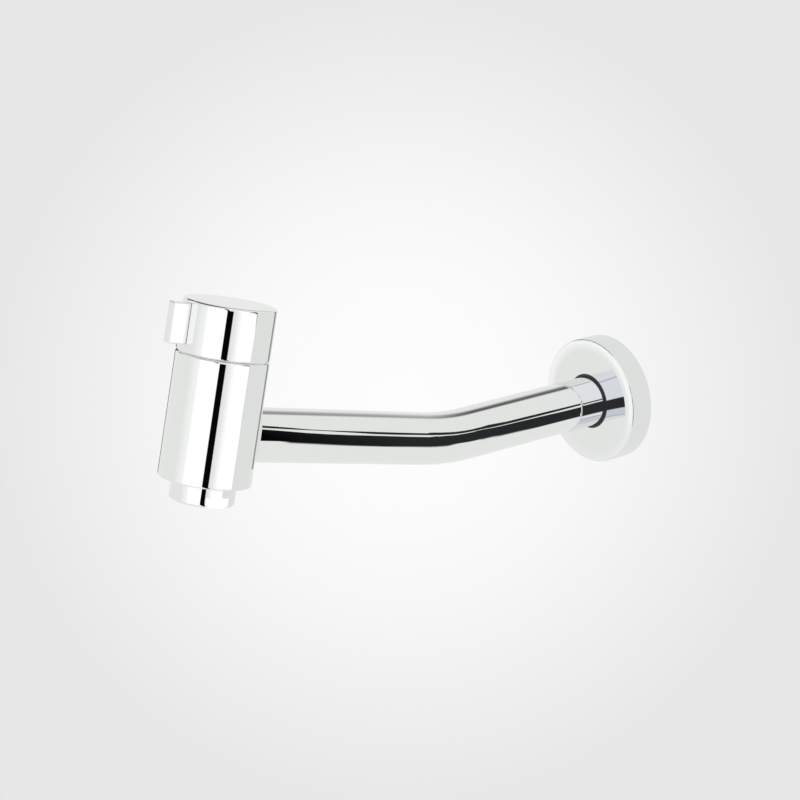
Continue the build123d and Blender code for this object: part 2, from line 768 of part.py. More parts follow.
# Aerator shell: the outlet ring with its wrench flats, screwed into the head from below
aerator_top = outlet_ledge - gasket_height
outlet_ring_radius = aerator_thread / 2 + outlet_ring_step
outlet_bottom = head_bottom - outlet_ring_height
shell_bore_radius = aerator_thread / 2 - aerator_shell_wall
lip_top = outlet_bottom + aerator_lip_height
with BuildPart() as aerator_shell:
    with BuildSketch(head_side):
        with BuildLine():
            Polyline(
                (shell_bore_radius - aerator_lip, outlet_bottom),
                (outlet_ring_radius, outlet_bottom),
                (outlet_ring_radius, head_bottom),
                (aerator_thread / 2, head_bottom),
                (aerator_thread / 2, aerator_top),
                (shell_bore_radius, aerator_top),
                (shell_bore_radius, lip_top),
                (shell_bore_radius - aerator_lip, lip_top),
                close=True,
            )
        make_face()
    revolve(axis=head_line)
    fillet(
        edge_near(aerator_shell, head_line, outlet_ring_radius, outlet_bottom), outlet_ring_edge
    )
    with BuildSketch(head_plane.offset(outlet_bottom)):
        flat_reach = 2 * outlet_ring_radius - wrench_flat_depth
        with PolarLocations(flat_reach, 4, start_angle=wrench_flat_turn):
            Rectangle(2 * outlet_ring_radius, 2 * outlet_ring_radius)
    extrude(amount=wrench_flat_height, mode=Mode.SUBTRACT)
save("aerator_shell", aerator_shell)

# Aerator cage: a moulded cup whose floor is a grid of six-sided holes
cage_radius = shell_bore_radius - loose_gap
restrictor_bottom = aerator_top - restrictor_height
grid_top = lip_top + cage_grid_height
with BuildPart() as aerator_cage:
    with BuildSketch(head_plane.offset(lip_top)):
        Circle(cage_radius)
    extrude(amount=restrictor_bottom - lip_top)
    with BuildSketch(head_plane.offset(grid_top)):
        Circle(cage_radius - cage_wall)
    extrude(amount=restrictor_bottom - grid_top, mode=Mode.SUBTRACT)
    with BuildSketch(head_plane.offset(lip_top)):
        with HexLocations(grid_pitch / 2, 7, 7):
            RegularPolygon(grid_hole / 2, 6, major_radius=False)
        Circle(shell_bore_radius - aerator_lip - grid_rim, mode=Mode.INTERSECT)
    extrude(amount=cage_grid_height, mode=Mode.SUBTRACT)
save("aerator_cage", aerator_cage)

# Aerator screens: two thin perforated discs that break up the water
screen_radius = cage_radius - cage_wall - slide_gap
with BuildPart() as aerator_screens:
    for screen_rise in screen_rises:
        with BuildSketch(head_plane.offset(grid_top + screen_rise)) as screen:
            Circle(screen_radius)
            with BuildSketch(mode=Mode.PRIVATE) as screen_holes:
                with GridLocations(screen_pitch, screen_pitch, 8, 8):
                    Circle(screen_hole / 2)
                Circle(screen_radius - screen_rim, mode=Mode.INTERSECT)
            add(screen_holes.sketch, mode=Mode.SUBTRACT)
        extrude(amount=screen_height)
save("aerator_screens", aerator_screens)

# Flow restrictor: a disc with a ring of small holes on top of the cage
with BuildPart() as flow_restrictor:
    with BuildSketch(head_plane.offset(restrictor_bottom)):
        Circle(cage_radius)
        with PolarLocations(cage_radius * restrictor_ring_share, restrictor_holes):
            Circle(restrictor_hole / 2, mode=Mode.SUBTRACT)
    extrude(amount=restrictor_height)
save("flow_restrictor", flow_restrictor)

# Aerator gasket: a flat rubber ring squeezed between the shell and the head's ledge
with BuildPart() as aerator_gasket:
    with BuildSketch(head_plane.offset(aerator_top)):
        Circle(aerator_socket_radius - loose_gap)
        Circle(aerator_socket_radius - loose_gap - gasket_width, mode=Mode.SUBTRACT)
    extrude(amount=gasket_height)
save("aerator_gasket", aerator_gasket)
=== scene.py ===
# %% [markdown]
# A wall-mounted tap in polished chrome
#
# The tap is turned and bent metal: a wall flange, a bent spout tube, a valve head and a knob
# with a small lever tab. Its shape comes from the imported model, which is loaded as a fixed
# frame. This lesson gives it the photograph's camera, a studio whose light and dark panels
# make the chrome readable, and a finish for every piece.

import json
import math

import bpy
import numpy as np
from mathutils import Matrix, Vector


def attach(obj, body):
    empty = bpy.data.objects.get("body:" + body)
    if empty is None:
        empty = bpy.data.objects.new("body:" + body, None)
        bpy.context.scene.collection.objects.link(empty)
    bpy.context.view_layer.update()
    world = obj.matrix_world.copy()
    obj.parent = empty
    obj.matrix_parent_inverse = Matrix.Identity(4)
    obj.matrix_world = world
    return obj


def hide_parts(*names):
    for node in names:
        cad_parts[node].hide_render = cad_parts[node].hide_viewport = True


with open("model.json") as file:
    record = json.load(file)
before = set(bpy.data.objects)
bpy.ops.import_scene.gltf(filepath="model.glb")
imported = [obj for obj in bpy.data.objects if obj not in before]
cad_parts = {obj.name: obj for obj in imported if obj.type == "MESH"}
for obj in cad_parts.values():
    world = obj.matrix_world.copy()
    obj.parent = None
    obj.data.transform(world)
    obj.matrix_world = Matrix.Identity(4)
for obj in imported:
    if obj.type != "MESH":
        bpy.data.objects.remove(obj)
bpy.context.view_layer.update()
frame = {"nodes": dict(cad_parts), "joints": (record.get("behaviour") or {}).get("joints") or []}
nodes = frame["nodes"]

# %% [markdown]
# The photograph's camera
#
# The product was photographed from its front right and a little above, with a long lens. The
# camera was found by fitting the outlines of the knob, head, outlet ring, flange and tube to
# the photograph. A camera can be given as a place and three directions: to the right, up and
# backwards. That is clearer here than angles, and the matrix takes them as its columns.

# %% Camera
view_azimuth = math.radians(52.03342)
view_elevation = math.radians(16.63192)
view_roll = math.radians(-1.20369)
view_distance = 1.10719
shift_left = 0.01879328
shift_up = 0.01908357
focal_pixels = 2313.08
frame_pixels = 800
sensor_width = 36
aim = Vector((0, -0.11, 0))

backwards = Vector(
    (
        math.sin(view_azimuth) * math.cos(view_elevation),
        -math.cos(view_azimuth) * math.cos(view_elevation),
        math.sin(view_elevation),
    )
)
level_right = Vector((math.cos(view_azimuth), math.sin(view_azimuth), 0))
level_up = backwards.cross(level_right)
right = level_right * math.cos(view_roll) + level_up * math.sin(view_roll)
up = level_up * math.cos(view_roll) - level_right * math.sin(view_roll)
camera_place = aim + backwards * view_distance - right * shift_left + up * shift_up

camera_data = bpy.data.cameras.new("camera")
camera_data.sensor_width = sensor_width
camera_data.lens = focal_pixels / frame_pixels * sensor_width
camera_data.clip_start = 0.01
camera_data.clip_end = 50
camera = bpy.data.objects.new("camera", camera_data)
camera.matrix_world = Matrix(
    (
        (right.x, up.x, backwards.x, camera_place.x),
        (right.y, up.y, backwards.y, camera_place.y),
        (right.z, up.z, backwards.z, camera_place.z),
        (0, 0, 0, 1),
    )
)
bpy.context.scene.collection.objects.link(camera)
bpy.context.scene.camera = camera
bpy.context.scene.view_settings.view_transform = "Standard"
print("lens in mm:", round(camera_data.lens, 2))

# %% [markdown]
# Small helpers for node trees
#
# Every finish below is a tree of shader nodes. A few helpers keep the cells short: one adds a
# node with its settings and inputs, one does a step of arithmetic, and two turn a value into a
# mask, as a single rise or as a band with soft edges.


# %% Node helpers
def add_node(tree, kind, inputs=None, **settings):
    """A shader node with its settings, whose inputs are numbers or sockets of other nodes."""
    node = tree.nodes.new(kind)
    for name, value in settings.items():
        setattr(node, name, value)
    for key, value in (inputs or {}).items():
        if isinstance(value, bpy.types.NodeSocket):
            tree.links.new(value, node.inputs[key])
        else:
            node.inputs[key].default_value = value
    return node


def reckon(tree, operation, *values):
    """The result of one arithmetic step on numbers or sockets."""
    node = add_node(tree, "ShaderNodeMath", dict(enumerate(values)), operation=operation)
    return node.outputs[0]


def rise(tree, value, low, high, start=0.0, end=1.0, easing="LINEAR"):
    """A value that goes from start at low to end at high, and stays level outside them."""
    node = add_node(
        tree,
        "ShaderNodeMapRange",
        {"Value": value, "From Min": low, "From Max": high, "To Min": start, "To Max": end},
        interpolation_type=easing,
    )
    return node.outputs["Result"]


def between(tree, value, low, high, soft):
    """1 where value lies from low to high, easing to 0 over a width of soft at each end."""
    half = soft / 2
    rising = rise(tree, value, low - half, low + half, easing="SMOOTHSTEP")
    falling = rise(tree, value, high - half, high + half, 1.0, 0.0, "SMOOTHSTEP")
    return reckon(tree, "MULTIPLY", rising, falling)


print("helpers: add_node, reckon, rise, between")

# %% [markdown]
# Colours and vectors
#
# Two more helpers blend colours and take a vector apart. The Mix node has sockets for every
# kind of data, so the colour ones are found by their identifiers.


# %% Colour and vector helpers
def mix_colours(tree, factor, first, second):
    """A blend from the first colour at factor 0 to the second at factor 1."""
    node = tree.nodes.new("ShaderNodeMix")
    node.data_type = "RGBA"
    sockets = {socket.identifier: socket for socket in node.inputs}
    for key, value in (("Factor_Float", factor), ("A_Color", first), ("B_Color", second)):
        if isinstance(value, bpy.types.NodeSocket):
            tree.links.new(value, sockets[key])
        else:
            sockets[key].default_value = value
    return next(s for s in node.outputs if s.identifier == "Result_Color")


def parts_of(tree, vector):
    """The outputs X, Y and Z of a vector."""
    return add_node(tree, "ShaderNodeSeparateXYZ", {0: vector}).outputs


print("helpers: mix_colours, parts_of")

# %% [markdown]
# Directions in the studio
#
# Polished chrome has hardly any colour of its own: it shows the room. The world shader paints
# that room by direction. The bearing is counted in degrees from straight ahead of the wall
# towards the tap's right side, and the height in degrees above the horizon.

# %% Directions
world = bpy.data.worlds.new("studio")
bpy.context.scene.world = world
world.use_nodes = True
sky = world.node_tree
sky.nodes.clear()
way = add_node(sky, "ShaderNodeTexCoord").outputs["Generated"]
way_parts = parts_of(sky, way)
ahead = reckon(sky, "MULTIPLY", way_parts["Y"], -1)
bearing = reckon(sky, "DEGREES", reckon(sky, "ARCTAN2", way_parts["X"], ahead))
height = reckon(sky, "DEGREES", reckon(sky, "ARCSINE", way_parts["Z"]))


def panel(low, high, soft, bottom, top, fade):
    """A mask over bearings low to high and heights bottom to top, in degrees."""
    across = between(sky, bearing, low, high, soft)
    upright = between(sky, height, bottom, top, fade)
    return reckon(sky, "MULTIPLY", across, upright)


def cosine_to(direction):
    """The cosine of the angle between the direction that is looked up and another."""
    node = add_node(sky, "ShaderNodeVectorMath", {0: way, 1: direction}, operation="DOT_PRODUCT")
    return node.outputs["Value"]


print("nodes for the directions:", len(sky.nodes))

# %% [markdown]
# The panels of the studio
#
# In the photograph the room is a pale tent with white panels and black strips. They are masks
# with soft edges, laid one over the other. A wide panel in front ends sharply in the tent's
# grey. One to the right and behind is cut off in grey below, and above in its rear part, so
# that it whitens only a band of the tube. Two black strips, side by side, line the head. Soft
# shades behind, to the left and overhead draw the grey line along the top of the tube and the
# dark one round the knob's upper edge.

# %% Panels
tent_grey = (0.862, 0.875, 0.845, 1)
panel_white = (1.15, 1.15, 1.14, 1)
panel_dim = (0.99, 1.0, 0.98, 1)
soft_shade = (0.1, 0.1, 0.1, 1)
strip_black = (0.002, 0.002, 0.0025, 1)
panels = (
    # low and high bearing, softness, low and high edge, softness (degrees), colour
    (-16, 60, 26, -34, 34, 16, panel_dim),
    (1, 60, 6, -34, 34, 16, panel_white),
    (60, 90, 1, -34, 34, 16, tent_grey),
    (78, 142, 24, -34, 34, 16, panel_white),
    (98, 180, 8, -89, -21, 3, tent_grey),
    (112, 180, 8, -4, 89, 6, tent_grey),
    (49.6, 58, 1.4, -50, 60, 3, strip_black),
    (56, 64.5, 1.4, -50, 8, 3, strip_black),
    (-161, -141, 12, 27.5, 70, 45, soft_shade),
    (-118, -84, 14, 20, 46, 8, soft_shade),
)
overhead_way = (-0.337, -0.0594, 0.9397)
overhead_cosine = 0.906
light = tent_grey
for *sides, colour in panels:
    light = mix_colours(sky, panel(*sides), light, colour)
overhead = between(sky, cosine_to(overhead_way), overhead_cosine, 2, 0.05)
light = mix_colours(sky, overhead, light, soft_shade)
tent = add_node(sky, "ShaderNodeBackground", {"Color": light})
print("panels, strips and shades:", len(panels) + 1)

# %% [markdown]
# What the camera sees behind the tap
#
# The photograph's background is white in the middle and a pale grey towards the edges. Light
# Path tells a camera ray from the others, so that backdrop is seen directly but doesn't light
# the tap. Its fade is round the direction of the photograph and doesn't follow the camera. The
# slope away from that direction, times the focal length, is a distance in pixels.

# %% Backdrop
backdrop_levels = ((0, 253), (120, 251), (200, 247), (330, 237), (410, 231))  # pixels, grey level
ramp_pixels = 500
least_facing = 0.05
facing = reckon(sky, "MAXIMUM", cosine_to(-backwards), least_facing)
square = reckon(sky, "DIVIDE", 1, reckon(sky, "POWER", facing, 2))
slope = reckon(sky, "SQRT", reckon(sky, "SUBTRACT", square, 1))


def linear(level):
    """The light that a screen shows for a level from 0 to 255."""
    share = level / 255
    if share <= 0.04045:
        return share / 12.92
    return ((share + 0.055) / 1.055) ** 2.4


def colour_ramp(tree, factor, stops):
    """Colours that change evenly between stops, each a factor from 0 to 1 and a colour."""
    node = add_node(tree, "ShaderNodeValToRGB", {"Fac": factor})
    while len(node.color_ramp.elements) < len(stops):
        node.color_ramp.elements.new(0.5)
    for stop, (place, colour) in zip(node.color_ramp.elements, stops):
        stop.position = place
        stop.color = (*colour[:3], 1)
    return node.outputs["Color"]


backdrop_colour = colour_ramp(
    sky,
    reckon(sky, "MULTIPLY", slope, focal_pixels / ramp_pixels),
    [(pixels / ramp_pixels, [linear(level)] * 3) for pixels, level in backdrop_levels],
)
backdrop = add_node(sky, "ShaderNodeBackground", {"Color": backdrop_colour})
seen = add_node(sky, "ShaderNodeLightPath").outputs["Is Camera Ray"]
either = add_node(
    sky, "ShaderNodeMixShader", {0: seen, 1: tent.outputs[0], 2: backdrop.outputs[0]}
)
add_node(sky, "ShaderNodeOutputWorld", {"Surface": either.outputs[0]})
print("backdrop stops:", len(backdrop_levels))

# %% [markdown]
# Black strips and grey sleeves
#
# The other dark lines in the chrome are paper near the tap. A long black strip to the right
# lines the whole tube. Where the photograph shows no dark line, pale sleeves close round the
# head and the flange catch the reflection first, and two darker ones draw the lines at the
# head's sides. All of them are only there for reflections: the camera doesn't see them and
# they cast no shadow.


# %% Cards
def flat_card(name, corners, faces=None):
    """A mesh through corners in metres, with one face through them all unless faces are given."""
    mesh = bpy.data.meshes.new(name)
    rows = [tuple(range(len(corners)))] if faces is None else faces
    mesh.from_pydata([tuple(corner) for corner in corners], [], rows)
    card = bpy.data.objects.new(name, mesh)
    bpy.context.scene.collection.objects.link(card)
    return card


def band_faces(lines, count):
    """The faces between neighbouring lines of count points: a point and the next one, and the
    same two on the next line."""
    first = (np.arange(lines - 1)[:, None] * count + np.arange(count - 1)).ravel()
    return np.stack([first, first + 1, first + count + 1, first + count], axis=1).tolist()


def only_reflected(card, material):
    """Gives a card its paper and hides it from all but reflections."""
    card.data.materials.append(material)
    card.visible_camera = False
    card.visible_diffuse = False
    card.visible_shadow = False
    card.visible_transmission = False


print("faces between 3 lines of 5 points:", len(band_faces(3, 5)))

# %% [markdown]
# Paper
#
# The paper has to reflect at an even level wherever it hangs. It could be lit by lamps, but a
# glow of the wanted level is simpler and doesn't depend on the distance to a lamp.


# %% Papers
def new_material(name):
    """A material with an empty node tree."""
    material = bpy.data.materials.new(name)
    material.use_nodes = True
    material.node_tree.nodes.clear()
    return material


def even_glow(material, colour):
    """Ends a material with an emission, so that no lamp has to reach it."""
    glow = add_node(material.node_tree, "ShaderNodeEmission", {"Color": colour})
    add_node(material.node_tree, "ShaderNodeOutputMaterial", {"Surface": glow.outputs[0]})
    return material


def object_place(tree):
    """The piece's own coordinates in metres."""
    return add_node(tree, "ShaderNodeTexCoord").outputs["Object"]


paper_levels = {
    "paper_grey": tent_grey,
    "paper_pale": (0.82, 0.832, 0.81, 1),
    "paper_dim": (0.32, 0.32, 0.32, 1),
    "paper_dark": (0.1, 0.1, 0.1, 1),
}
papers = {name: even_glow(new_material(name), level) for name, level in paper_levels.items()}
print("papers:", len(papers))

# %% [markdown]
# The long strip along the tube
#
# It stands 100 mm to the right of the tap, parallel to the wall run. Its outline is given by
# four lines that run along it: the lower edge, both sides of a narrow slit, and the upper
# edge. It is paler away from the head. Its lower edge is soft: a value named blend goes from 0
# to 1 across that edge and fades the tent's grey into the paper.

# %% Long strip
strip_x = 0.1
strip_pale = (0.0225, 0.0235, 0.0255, 1)
black_until = -0.15
pale_from = -0.06
edge_softness = 0.008
strip_lines = np.array(
    [
        # y, lower edge, slit below, slit above, upper edge (mm)
        (-180, 8, 160, 160, 165),
        (-160, -7, 150, 158, 165),
        (-144, -30, 111, 140, 165),
        (-130, -36, 79, 118, 165),
        (-115, -43, 48, 87, 165),
        (-105, -47, 39, 75, 165),
        (-92.5, -51, 33, 66, 165),
        (-91.5, -51, 33, 65, 80),
        (-84, -53.5, 31, 56, 70),
        (-70, -55, 27, 41, 65),
        (-55, -57, 22, 36, 60),
        (-41, -55, 20, 35, 55),
        (-29, -41, 28, 34, 52),
        (-21, -43, 34, 38, 51),
        (-14, -53, 25, 30, 57),
        (-7, -54, 22, 27, 60),
        (1, -60, 20, 25, 47),
        (17, -64, 16, 23, 44),
        (33, -71, 10, 22, 40),
        (60, -75, 6, 22, 34),
        (110, -90, 0, 22, 26),
    ]
)
along = strip_lines[:, 0] / 1000
lower, slit_low, slit_high, upper = strip_lines[:, 1:].T / 1000
print("long strip in mm:", round(1000 * (along[-1] - along[0])), "long")

# %% [markdown]
# The strip's paper and its two parts
#
# The strip is hung as two bands of faces, one below the slit and one above it. Each point of
# their edges carries the value named blend, which the paper reads as an attribute.


# %% Hang the long strip
def band(name, *edges):
    """A strip of faces between lines that run along y, in the plane x = strip_x."""
    rows = [np.stack([np.full(along.shape, strip_x), along, edge], axis=1) for edge in edges]
    return flat_card(name, np.concatenate(rows), band_faces(len(edges), len(along)))


strip_paper = new_material("strip_paper")
tree = strip_paper.node_tree
paling = rise(tree, parts_of(tree, object_place(tree))["Y"], black_until, pale_from)
shade = mix_colours(tree, paling, strip_black, strip_pale)
blend = add_node(tree, "ShaderNodeAttribute", attribute_name="blend").outputs["Fac"]
even_glow(strip_paper, mix_colours(tree, blend, tent_grey, shade))

half_soft = edge_softness / 2
for name, edges, blends in (
    ("strip_low", (lower - half_soft, lower + half_soft, slit_low), (0, 1, 1)),
    ("strip_high", (slit_high, upper), (1, 1)),
):
    strip = band(name, *edges)
    layer = strip.data.attributes.new("blend", "FLOAT", "POINT")
    layer.data.foreach_set("value", np.repeat(np.array(blends, dtype=np.float32), len(along)))
    only_reflected(strip, strip_paper)
    print(name, "faces:", len(strip.data.polygons))

# %% [markdown]
# Sleeves
#
# A sleeve is a part of a round wall about an axis: points at a radius, between two bearings
# and between two distances along the axis. Those of the head, outlet and flange stand one or
# two millimetres off the metal. The one of the groove is a thin glowing ring inside it, between
# head and knob: painted light, which brightens the shaded chrome of the groove and keeps it
# from looking black.

# %% Sleeves
head_place = Vector((0, -0.23954, 0.03036838))
joint = next(j for j in frame["joints"] if j["name"] == "knob_turn")
lean = math.atan2(joint["axis"][1], joint["axis"][2])
head_axis = (-lean, head_place)
wall_axis = (math.radians(90), (0, 0, 0))
sleeve_columns = 49
sleeves = (
    # name, axis, radius (m), bearings (degrees), reach along the axis (m), paper
    ("sleeve_right", head_axis, 0.022, (92.3, 131.5), (-0.0212, 0.06), "paper_pale"),
    ("sleeve_edge", head_axis, 0.022, (131.5, 141), (-0.0125, 0.06), "paper_dim"),
    ("sleeve_behind", head_axis, 0.022, (141, 163), (-0.0212, 0.06), "paper_pale"),
    ("sleeve_left", head_axis, 0.022, (-60, -36), (-0.0212, 0.056), "paper_dark"),
    ("sleeve_outlet_high", head_axis, 0.0158, (94, 163), (-0.0259, -0.0212), "paper_pale"),
    ("sleeve_outlet_low", head_axis, 0.0158, (110, 163), (-0.034, -0.0259), "paper_pale"),
    # a glowing ring in the slot between head and knob: painted light that brightens the shaded
    # groove
    ("groove_light_sleeve", head_axis, 0.0195, (0, 360), (0.0354, 0.03565), "paper_grey"),
    ("sleeve_flange", wall_axis, 0.0332, (0, 360), (-0.2, 0.0115), "paper_pale"),
)


def sleeve(axis, radius, bearings, reach):
    """Points of part of a cylinder whose own Z axis is turned about X and moved to a place."""
    turns = np.radians(np.linspace(*bearings, sleeve_columns))
    rings = [
        np.stack([radius * np.sin(turns), -radius * np.cos(turns), np.full(turns.shape, end)], 1)
        for end in reach
    ]
    turn, place = axis
    return np.concatenate(rings) @ np.array(Matrix.Rotation(turn, 3, "X")).T + np.array(place)


for name, axis, radius, bearings, reach, sheet in sleeves:
    points = sleeve(axis, radius, bearings, reach)
    card = flat_card(name, points, band_faces(len(reach), sleeve_columns))
    only_reflected(card, papers[sheet])
print("the head leans by", round(math.degrees(lean), 2), "degrees; sleeves:", len(sleeves))

# %% [markdown]
# Paper that is painted on one side
#
# The tube's last stretch mirrors the flange, and the flange mirrors the tube. Both show what
# stands in front of the flange: a flat ring across the tube and a part of a wider one, built
# next. Only their side towards the wall is painted, so nothing in front sees them. Geometry's
# Backfacing tells the sides apart, and Light Path can leave out reflections of reflections.


# %% One-sided paper
def sector(name, place_y, angles, reaches, steps):
    """Part of a flat ring across the tube, between two angles and two radii, facing the wall."""
    turns = np.radians(np.linspace(*angles, steps))
    rims = [
        np.stack([reach * np.cos(turns), np.full(steps, place_y), reach * np.sin(turns)], axis=1)
        for reach in reaches
    ]
    return flat_card(name, np.concatenate(rims), band_faces(len(reaches), steps))


def one_sided(material, colour, last_bounce=9):
    """Ends a material with an even glow of a colour in front and nothing at the back, or in
    reflections after the last bounce."""
    tree = material.node_tree
    glow = add_node(tree, "ShaderNodeEmission", {"Color": colour})
    clear = add_node(tree, "ShaderNodeBsdfTransparent")
    behind = add_node(tree, "ShaderNodeNewGeometry").outputs["Backfacing"]
    bounces = add_node(tree, "ShaderNodeLightPath").outputs["Ray Depth"]
    later = reckon(tree, "GREATER_THAN", bounces, last_bounce + 0.5)
    hidden = reckon(tree, "MAXIMUM", behind, later)
    shown = {0: hidden, 1: glow.outputs[0], 2: clear.outputs[0]}
    both = add_node(tree, "ShaderNodeMixShader", shown)
    add_node(tree, "ShaderNodeOutputMaterial", {"Surface": both.outputs[0]})
    return material


def distance(tree, place, point):
    """How far a place is from a point."""
    node = add_node(tree, "ShaderNodeVectorMath", {0: place, 1: point}, operation="DISTANCE")
    return node.outputs["Value"]


print("helpers for the rings: sector, one_sided, distance")

# %% [markdown]
# The white ring before the flange's edge
#
# A white ring close to the flange gives its rounded edge the soft white line of the
# photograph. It begins in the tent's grey near the tube and is white further out, and a little
# brighter above. It is seen in first reflections only, so that the tube doesn't mirror it a
# second time.

# %% White ring
ring_y = -0.0145
ring_inner, ring_white, ring_outer = 0.0257, 0.0295, 0.055
ring_steps = 97
white_below, white_above = (0.9, 0.9, 0.9, 1), (1.0, 1.0, 1.0, 1)
brighter_from, brightest_at = -0.014, -0.002
edge_ring = sector("edge_ring", ring_y, (0, 360), (ring_inner, ring_outer), ring_steps)
ring_paper = new_material("ring_paper")
tree = ring_paper.node_tree
ring_place = object_place(tree)
outwards = rise(tree, distance(tree, ring_place, (0, ring_y, 0)), ring_inner, ring_white)
raised = rise(tree, parts_of(tree, ring_place)["Z"], brighter_from, brightest_at)
white = mix_colours(tree, raised, white_below, white_above)
paint = mix_colours(tree, outwards, tent_grey, white)
only_reflected(edge_ring, one_sided(ring_paper, paint, last_bounce=1))
print("white ring before the wall in mm:", round(-1000 * ring_y, 1))

# %% [markdown]
# The painted pane
#
# The pane stands further out and carries a fan of colours about the tube's axis, by the angle
# above the level to the right. The inner part of the fan is seen in the flange, the outer part
# in the tube. A colour ramp holds each part's stops.

# %% Fan of colours
pane_angles = (-78, 112)
fan_black = (0.027, 0.028, 0.03)
fan_low = (0.7, 0.73, 0.78)
fan_line = (0.5, 0.53, 0.58)
fan_near = (0.86, 0.895, 0.95)
fan_far = (0.95, 0.97, 0.985)
fan_top = (0.5, 0.5, 0.5)
near_stops = (
    (-75, fan_low),
    (-71, fan_line),
    (-67, fan_low),
    (-38, fan_low),
    (-35, fan_black),
    (3.5, fan_black),
    (6.5, fan_near),
    (80, fan_near),
    (86, fan_line),
    (92, fan_near),
)
far_stops = (
    (-56, fan_low),
    (-50, fan_line),
    (-46, fan_far),
    (-38, fan_far),
    (-35, fan_black),
    (7, fan_black),
    (8.5, fan_far),
    (11.5, fan_far),
    (13, fan_black),
    (16.5, fan_black),
    (18, fan_far),
    (99, fan_far),
    (104, fan_top),
    (109, fan_far),
)
print("stops of the fan:", len(near_stops), "near the tube,", len(far_stops), "further out")

# %% [markdown]
# The pane's paint
#
# The angle about the tube's axis picks the colour on a ramp, and the distance from the axis
# picks the ramp.


# %% Paint the pane
def fan(tree, share, stops):
    """The fan's colours for stops given in degrees."""
    low, high = pane_angles
    shares = [((angle - low) / (high - low), paint) for angle, paint in stops]
    return colour_ramp(tree, share, shares)


def length_of(tree, first, second):
    """The length of a vector with these two parts."""
    flat = add_node(tree, "ShaderNodeCombineXYZ", {"X": first, "Y": second})
    node = add_node(tree, "ShaderNodeVectorMath", {0: flat.outputs[0]}, operation="LENGTH")
    return node.outputs["Value"]


pane_y = -0.04
pane_reaches = (0.018, 0.08)
pane_split = 0.0433
split_softness = 0.0008
pane_steps = 39
pane_paper = new_material("pane_paper")
tree = pane_paper.node_tree
parts = parts_of(tree, object_place(tree))
angle = reckon(tree, "DEGREES", reckon(tree, "ARCTAN2", parts["Z"], parts["X"]))
share = rise(tree, angle, *pane_angles)
far = between(tree, length_of(tree, parts["X"], parts["Z"]), pane_split, 1, split_softness)
paint = mix_colours(tree, far, fan(tree, share, near_stops), fan(tree, share, far_stops))
pane = sector("pane", pane_y, pane_angles, pane_reaches, pane_steps)
only_reflected(pane, one_sided(pane_paper, paint))
print("pane in front of the wall in mm:", round(-1000 * pane_y))

# %% [markdown]
# The floor
#
# The floor is a pale disc below the tap, with an edge that fades out.

# %% Floor
floor_level = -0.6
floor_radius = 0.72
floor_y = -0.12
fade_width = 0.26
fade_middle = floor_radius - 0.14
floor_corners = 96
turns = np.linspace(0, 2 * np.pi, floor_corners, endpoint=False)
rim_x, rim_y = floor_radius * np.cos(turns), floor_radius * np.sin(turns) + floor_y
floor = flat_card("floor", np.stack([rim_x, rim_y, np.full(turns.shape, floor_level)], axis=1))
floor.visible_glossy = False
pale_floor = new_material("pale_floor")
tree = pale_floor.node_tree
floor_place = object_place(tree)
away = distance(tree, floor_place, (0, floor_y, floor_level))
grain = add_node(tree, "ShaderNodeTexNoise", {"Vector": floor_place, "Scale": 60, "Detail": 4})
paint = mix_colours(tree, grain.outputs["Fac"], (0.86, 0.865, 0.855, 1), (0.9, 0.9, 0.9, 1))
solid = between(tree, away, -1, fade_middle, fade_width)
matt = add_node(
    tree,
    "ShaderNodeBsdfPrincipled",
    {"Base Color": paint, "Roughness": 0.9, "Alpha": solid},
)
add_node(tree, "ShaderNodeOutputMaterial", {"Surface": matt.outputs[0]})
floor.data.materials.append(pale_floor)

# %% [markdown]
# Coordinates along the two axes
#
# Turned pieces carry their marks round the axis that they were turned about. Pieces at the
# wall have the Y axis, and pieces in the head have an axis that leans by 13 degrees. A Mapping
# node turns and shifts the object's coordinates, so that in both cases Z runs along the axis.

# %% Axis coordinates
regions = {
    # turn and shift of the object's coordinates
    "head": ((lean, 0, 0), -(Matrix.Rotation(lean, 3, "X") @ head_place)),
    "wall": ((math.radians(90), 0, 0), Vector((0, 0, 0))),
}


def axis_coordinates(tree, region):
    """Object coordinates turned so that Z runs along the axis of the head or of the wall."""
    turn, shift = regions[region]
    inputs = {"Vector": object_place(tree), "Rotation": turn, "Location": shift}
    return add_node(tree, "ShaderNodeMapping", inputs).outputs["Vector"]


print("regions:", sorted(regions))

# %% [markdown]
# Shared effects
#
# An effect that several finishes use is a node group, built once. Each group gives only
# values: a roughness, a mask or a height for a Bump node.


# %% Group helpers
def new_group(name, inputs, outputs):
    """An empty shader group with number or vector inputs and number outputs."""
    group = bpy.data.node_groups.new(name, "ShaderNodeTree")
    for socket_name, start in inputs.items():
        kind = "NodeSocketVector" if start is None else "NodeSocketFloat"
        socket = group.interface.new_socket(socket_name, in_out="INPUT", socket_type=kind)
        if start is not None:
            socket.default_value = start
    for socket_name in outputs:
        group.interface.new_socket(socket_name, in_out="OUTPUT", socket_type="NodeSocketFloat")
    entry = group.nodes.new("NodeGroupInput").outputs
    leave = group.nodes.new("NodeGroupOutput").inputs
    return group, entry, leave


def noise(tree, place, scale, detail=3.0):
    """Smooth noise from 0 to 1 at a point."""
    inputs = {"Vector": place, "Scale": scale, "Detail": detail}
    return add_node(tree, "ShaderNodeTexNoise", inputs).outputs["Fac"]


print("helpers for groups: new_group, noise")

# %% [markdown]
# Polish and turning marks
#
# Polish is the faint waviness and haze that buffing leaves. Turning marks are fine rings, made
# of noise that changes only along and away from the axis.


